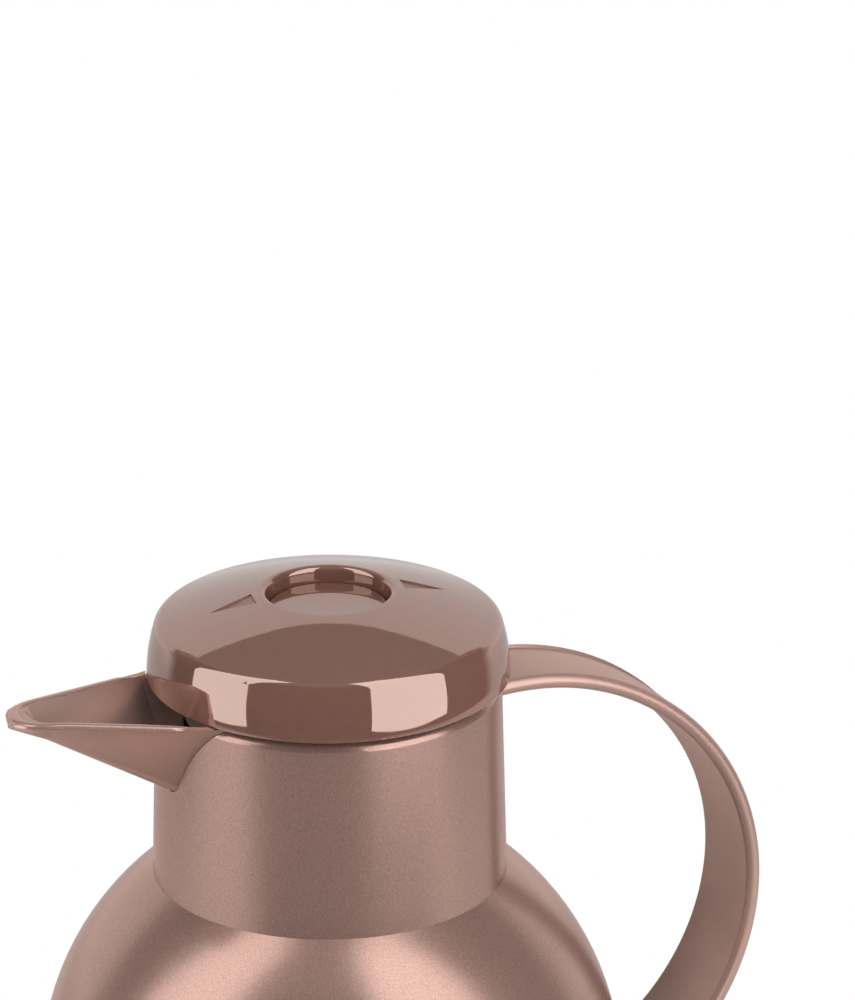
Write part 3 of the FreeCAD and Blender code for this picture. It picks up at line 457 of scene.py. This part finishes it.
def rim_sections():
    """Rim points and sections of the rolled edge, from one side of the collar to the other."""
    side = []
    for step in range(RIM_SIDE_STEPS):
        share = step / RIM_SIDE_STEPS
        reach, half, height = between(RIM_START, RIM_NOSE, share)
        grown = smoothstep(min(1.0, share / RIM_RUN_OUT))
        side.append((Vector((-reach, half, height)), between(RIM_ROOT, RIM_SIDE, grown)))
    nose_reach, nose_half, nose_height = RIM_NOSE
    tip_length = RIM_REACH - nose_reach
    tip = []
    for step in range(RIM_TIP_STEPS + 1):
        angle = math.pi * step / RIM_TIP_STEPS
        reach = nose_reach + tip_length * math.sin(angle)
        edge = Vector((-reach, nose_half * math.cos(angle), nose_height))
        tip.append((edge, between(RIM_SIDE, RIM_TIP, math.sin(angle) ** 2)))
    back = [(Vector((edge.x, -edge.y, edge.z)), section) for edge, section in reversed(side)]
    return eased(side + tip + back)


def roll_spout_rim(polish):
    """Soft rolled edge along the spout's rim, swelling to a broad lip at the tip."""
    sections = rim_sections()
    up = Vector((0, 0, 1))
    verts = []
    for i, (edge, (width, thickness, inset, rise)) in enumerate(sections):
        before = sections[max(i - 1, 0)][0]
        after = sections[min(i + 1, len(sections) - 1)][0]
        inward = up.cross((after - before).normalized()).normalized()
        middle = edge + inward * (inset + width / 2) + up * (rise - thickness / 2)
        for side in range(RIM_SIDES):
            angle = 2 * math.pi * side / RIM_SIDES
            outward = inward * (width / 2 * math.cos(angle))
            verts.append(middle - outward + up * (thickness / 2 * math.sin(angle)))
    rim = tube("spout_rim", verts, RIM_SIDES, polish)
    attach(rim, "jug")


# Camera: viewpoint found from the lid's, neck's and belly's outlines in the photograph

CAMERA_PLACE = (-0.51893, -1.08798, 0.70493)
CAMERA_WAY = (0.41790, 0.83510, -0.35770)
CAMERA_LENS = 203.57
CAMERA_FAR = 50.0
SENSOR = 36.0


def aim(thing, target):
    """Turn a lamp or camera to look at a point."""
    way = Vector(target) - thing.location
    thing.rotation_euler = way.to_track_quat("-Z", "Y").to_euler()


def place_camera():
    data = bpy.data.cameras.new("camera")
    data.sensor_fit = "AUTO"
    data.sensor_width = SENSOR
    data.lens = CAMERA_LENS
    data.clip_end = CAMERA_FAR
    camera = bpy.data.objects.new("camera", data)
    bpy.context.scene.collection.objects.link(camera)
    camera.location = CAMERA_PLACE
    aim(camera, Vector(CAMERA_PLACE) + Vector(CAMERA_WAY))
    bpy.context.scene.camera = camera


# Studio: two softboxes beside the camera, a soft top light and a weak front light. Turns are in
# degrees about the jug's axis, from the camera's side.

CAMERA_TURN = -25.5
SOFTBOX_FOOT = 0.038
SOFTBOX_HEIGHT = 2.0
LEFT_BOX = {"turn": -70.5, "distance": 0.55, "width": 0.407, "radiance": 2.75}
RIGHT_BOX = {"turn": 50.4, "distance": 0.55, "width": 0.514, "radiance": 3.0}
TOP_BOX = {"width": 1.0, "height": 1.0, "radiance": 0.3}
TOP_BOX_PLACE = (0, 0, 1.3)
TOP_BOX_AIM = (0, 0.001, 0)
FRONT_FILL = {"width": 0.5, "height": 0.5, "radiance": 0.6}
FRONT_FILL_TURN = -18.0
FRONT_FILL_DISTANCE = 1.2
FRONT_FILL_HEIGHT = 0.7
FRONT_FILL_AIM = (0, 0, 0.15)
WORLD_GREY = (0.26, 0.26, 0.26)

FLOOR_SIZE = 16.0
FLOOR_DROP = 0.05 * MM
# Share of plain white that the camera sees under the jug, and where the floor is all white
SHADOW_WHITE = 0.5
SHADOW_REACH = 0.16
# Share of plain white that reflections see near the jug, and from and to where it grows to one
MIRRORED_WHITE = 0.25
MIRRORED_NEAR = 0.5
MIRRORED_FAR = 1.6
BACKDROP_TURN = 180.0
BACKDROP_DISTANCE = 3.0
# Upper edge of the backdrop from one side to its middle: across and height
BACKDROP_ARCH = ((8.0, 2.0), (5.2, 2.0), (3.5, 2.55), (1.75, 3.2), (0.0, 3.44))

# Sheets that only reflections show: painted dark reflections, no real cloth. They fade to nothing
# over an angle about the jug and over a distance from its foot.
REFLECTION_SHEET_STEPS = 32
REFLECTION_SHEET_LIFT = 1.0 * MM
REFLECTION_SHEET_RADIUS = 0.62
# Painted dark reflection round the camera's side, seen only in reflections
DARK_REFLECTION = {"grey": 0.03, "turn": 1.5, "full": 108.0, "gone": 122.0,
            "solid_to": 0.86, "gone_at": 1.35}
DARK_REFLECTION_HEIGHT = 1.25
# Painted grey reflection of the floor before the jug, seen only in reflections
GREY_REFLECTION = {"grey": 0.10, "turn": 12.0, "full": 44.0, "gone": 68.0,
         "solid_to": 0.36, "gone_at": 0.62}
GREY_REFLECTION_RADIUS = 0.05


def round_jug(turn, distance, across, height):
    """Point beside the jug, turned from the camera's side."""
    angle = math.radians(CAMERA_TURN + turn)
    away = Vector((math.sin(angle), -math.cos(angle), 0))
    along = Vector((math.cos(angle), math.sin(angle), 0))
    return away * distance + along * across + Vector((0, 0, height))


def softbox(name, place, target, width, height, radiance):
    """Rectangular lamp of an even radiance."""
    data = bpy.data.lights.new(name, "AREA")
    data.shape = "RECTANGLE"
    data.size = width
    data.size_y = height
    data.energy = radiance * math.pi * width * height
    lamp = bpy.data.objects.new(name, data)
    bpy.context.scene.collection.objects.link(lamp)
    lamp.location = place
    aim(lamp, target)
    lamp.visible_camera = False
    return lamp


def side_box(name, turn, distance, width, radiance):
    """Upright softbox that faces the jug's axis."""
    middle = SOFTBOX_FOOT + SOFTBOX_HEIGHT / 2
    place = round_jug(turn, distance, 0, middle)
    softbox(name, place, (0, 0, middle), width, SOFTBOX_HEIGHT, radiance)


def light_studio():
    side_box("left_softbox", **LEFT_BOX)
    side_box("right_softbox", **RIGHT_BOX)
    top = softbox("top_light", TOP_BOX_PLACE, TOP_BOX_AIM, **TOP_BOX)
    top.visible_glossy = False
    fill_place = round_jug(FRONT_FILL_TURN, FRONT_FILL_DISTANCE, 0, FRONT_FILL_HEIGHT)
    fill = softbox("front_fill", fill_place, FRONT_FILL_AIM, **FRONT_FILL)
    fill.visible_glossy = False
    world = bpy.data.worlds.new("studio")
    world.use_nodes = True
    background = world.node_tree.nodes["Background"]
    background.inputs["Color"].default_value = opaque(WORLD_GREY)
    background.inputs["Strength"].default_value = 1.0
    bpy.context.scene.world = world


def floor_material():
    """White to the camera, with the jug's shadow near it; dimmer near the jug in reflections."""
    material, first_shader = new_material("floor")
    material.node_tree.nodes.remove(first_shader)
    reach = length_of(material, place_on_object(material))
    shown = spread(material, reach, SHADOW_WHITE, 1.0, SHADOW_REACH / 2, SHADOW_REACH)
    mirrored = spread(material, reach, MIRRORED_WHITE, 1.0, MIRRORED_NEAR, MIRRORED_FAR)
    path = node(material, "ShaderNodeLightPath")
    indirect = reckon(material, "MAXIMUM", (path, "Is Glossy Ray"), (path, "Is Transmission Ray"))
    straight = reckon(material, "MULTIPLY", (path, "Is Camera Ray"), shown)
    bounced = reckon(material, "MULTIPLY", indirect, mirrored)
    share = reckon(material, "MAXIMUM", straight, bounced)
    diffuse = node(material, "ShaderNodeBsdfDiffuse", Color=opaque(FLOOR_WHITE))
    glow = node(material, "ShaderNodeEmission", Color=opaque(WHITE), Strength=1.0)
    mix_on_output(material, share, diffuse, glow)
    return material


def sheet_of(name, corners, material):
    """Flat sheet of the studio, which is no part of the jug."""
    made = add_mesh(name, corners, [tuple(range(len(corners)))], material)


def lay_floor():
    """Floor, and a backdrop with an arched upper edge behind the jug."""
    half = FLOOR_SIZE / 2
    white = floor_material()
    corners = [(-half, -half), (half, -half), (half, half), (-half, half)]
    sheet_of("floor", [(x, y, -FLOOR_DROP) for x, y in corners], white)
    far_side = [(-across, height) for across, height in reversed(BACKDROP_ARCH[:-1])]
    outline = [(-half, 0), (half, 0), *BACKDROP_ARCH, *far_side]
    behind = [round_jug(BACKDROP_TURN, BACKDROP_DISTANCE, *point) for point in outline]
    sheet_of("backdrop", behind, white)


def painted_reflection_material(name, grey, turn, full, gone, solid_to, gone_at):
    """Matt sheet of a painted reflection that fades out towards its sides and its far edge."""
    material, shader = new_material(name)
    place = place_on_object(material)
    reflection_tone_noise = noise(material, place, scale=800.0, detail=3.0)
    # Tone of the painted reflection
    tone = two_tones(material, spread(material, reflection_tone_noise), (grey, grey, grey), dark=0.92, light=1.08)
    settle(material, shader, Base_Color=tone, Roughness=0.95)
    reach = length_of(material, place)
    facing = length_towards(material, place, round_jug(turn, 1.0, 0, 0))
    ahead = reckon(material, "DIVIDE", facing, reach)
    edge_ahead = math.cos(math.radians(gone))
    full_ahead = math.cos(math.radians(full))
    sideways = soft(spread(material, ahead, 0.0, 1.0, edge_ahead, full_ahead))
    outwards = soft(spread(material, reach, 1.0, 0.0, solid_to, gone_at))
    share = reckon(material, "MULTIPLY", sideways, outwards)
    mix_on_output(material, share, node(material, "ShaderNodeBsdfTransparent"), shader)
    return material


def hang_reflection_sheet(name, edges, material):
    """Strip between two edges, which only reflections show: a painted reflection."""
    verts = [point for pair in edges for point in pair]
    faces = [(2 * i, 2 * i + 2, 2 * i + 3, 2 * i + 1) for i in range(len(edges) - 1)]
    reflection_sheet = add_mesh(name, verts, faces, material)
    # Hidden from camera, diffuse light and shadow: only a painted reflection
    reflection_sheet.visible_camera = False
    reflection_sheet.visible_diffuse = False
    reflection_sheet.visible_shadow = False


def hang_painted_reflections():
    """Painted dark reflection round the camera's side of the set and painted grey reflection on the
    floor before the jug.
    """
    upright = []
    floor_edges = []
    for step in range(REFLECTION_SHEET_STEPS + 1):
        share = 2 * step / REFLECTION_SHEET_STEPS - 1
        turn = DARK_REFLECTION["turn"] + DARK_REFLECTION["gone"] * share
        low = round_jug(turn, REFLECTION_SHEET_RADIUS, 0, REFLECTION_SHEET_LIFT)
        upright.append((low, round_jug(turn, REFLECTION_SHEET_RADIUS, 0, DARK_REFLECTION_HEIGHT)))
        turn = GREY_REFLECTION["turn"] + GREY_REFLECTION["gone"] * share
        near = round_jug(turn, GREY_REFLECTION_RADIUS, 0, REFLECTION_SHEET_LIFT)
        floor_edges.append((near, round_jug(turn, REFLECTION_SHEET_RADIUS, 0, REFLECTION_SHEET_LIFT)))
    # Painted reflections: a dark one round the camera's side, a grey one on the floor before the
    # jug
    hang_reflection_sheet("painted_dark_reflection", upright, painted_reflection_material("painted_dark_reflection_finish", **DARK_REFLECTION))
    hang_reflection_sheet("painted_grey_reflection", floor_edges, painted_reflection_material("painted_grey_reflection_finish", **GREY_REFLECTION))


bpy.context.scene.view_settings.view_transform = "Standard"
finish_nodes()
place_camera()
light_studio()
lay_floor()
hang_painted_reflections()
